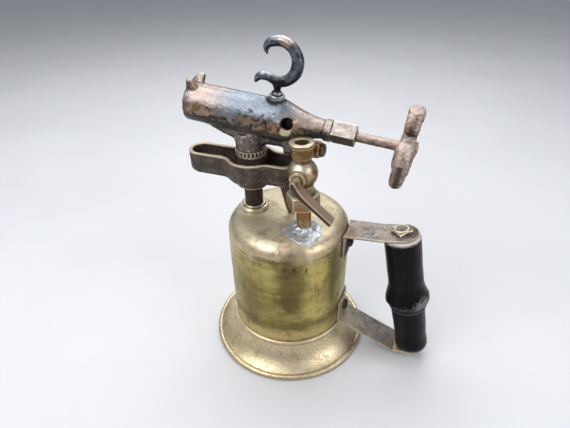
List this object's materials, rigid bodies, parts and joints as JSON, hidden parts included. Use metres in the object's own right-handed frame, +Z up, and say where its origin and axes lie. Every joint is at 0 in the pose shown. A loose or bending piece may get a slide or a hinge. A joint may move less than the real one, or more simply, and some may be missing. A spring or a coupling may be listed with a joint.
{
  "type": "blowtorch",
  "caption": "Brass gasoline blowtorch with a filler cock, cast drip pan, soldering-iron hook, needle-valve handwheel and black wooden grip",
  "frame": {"origin": "on the tank axis, at the level of the table that the base stands on", "axes": "+Z up along the tank, +X towards the grip, so the burner points to -X and the filler cock is on the -Y side"},
  "size_m": [0.1948, 0.127, 0.2427],
  "materials": {
    "aged_brass": "aged, finely turned",
    "skirt_brass": "aged, speckled",
    "bright_brass": "worn bright",
    "valve_brass": "tarnished, with verdigris",
    "lever_bronze": "brown, worn edges",
    "sooty_bronze": "sooted, worn to bronze",
    "pan_iron": "rough cast, worn rim",
    "hook_iron": "smooth black",
    "rusty_iron": "rusted, pitted",
    "nut_steel": "dull, stained",
    "strap_steel": "dull grey with rust",
    "rivet_iron": "dark",
    "black_wood": "gloss black paint, worn",
    "solder_tin": "lumpy soft solder",
    "packing_fibre": "graphited cord",
    "wick_cotton": "cotton cord"
  },
  "bodies": {
    "torch": {"tank_shell": "aged_brass", "tank_bottom": "aged_brass", "base_skirt": "skirt_brass", "burner_collar": "bright_brass", "standpipe": "rusty_iron", "pickup_tube": "valve_brass", "wick": "wick_cotton", "drip_pan": "pan_iron", "pan_lock_ring": "pan_iron", "burner_body": "sooty_bronze", "hook_lock_collar": "hook_iron", "soldering_hook": "hook_iron", "gas_jet": "bright_brass", "packing_ring": "packing_fibre", "packing_nut": "nut_steel", "cleanout_bush": "valve_brass", "cleanout_plug": "rivet_iron", "filler_tube": "valve_brass", "solder_fillet": "solder_tin", "filler_valve_body": "valve_brass", "filler_cup": "valve_brass", "upper_strap": "strap_steel", "lower_strap": "strap_steel", "upper_rivet": "rivet_iron", "lower_rivet": "rivet_iron", "grip": "black_wood", "handle_bolt": "strap_steel", "handle_nut": "strap_steel"},
    "needle": {"needle_spindle": "rusty_iron"},
    "handwheel": {"handwheel": "rusty_iron", "wheel_nut": "rusty_iron"},
    "filler_cock": {"valve_plug": "lever_bronze", "valve_lever": "lever_bronze", "plug_washer": "bright_brass", "plug_screw": "bright_brass"}
  },
  "joints": [
    {"name": "needle_travel", "type": "slide", "parent": "torch", "child": "needle", "axis": [0.9956, 0, -0.0941], "range_m": [0, 0.00181]},
    {"name": "wheel_turn", "type": "hinge", "parent": "needle", "child": "handwheel", "pos_m": [0.07763, 0, 0.18172], "axis": [0.9956, 0, -0.0941], "range_deg": [0, 540]},
    {"name": "cock_turn", "type": "hinge", "parent": "torch", "child": "filler_cock", "pos_m": [0.01575, -0.0158, 0.16147], "axis": [0, -1, 0], "range_deg": [0, 90]}
  ],
  "couplings": [
    {"joint": "needle_travel", "follows": "wheel_turn", "m_per_rad": 0.00019099}
  ]
}
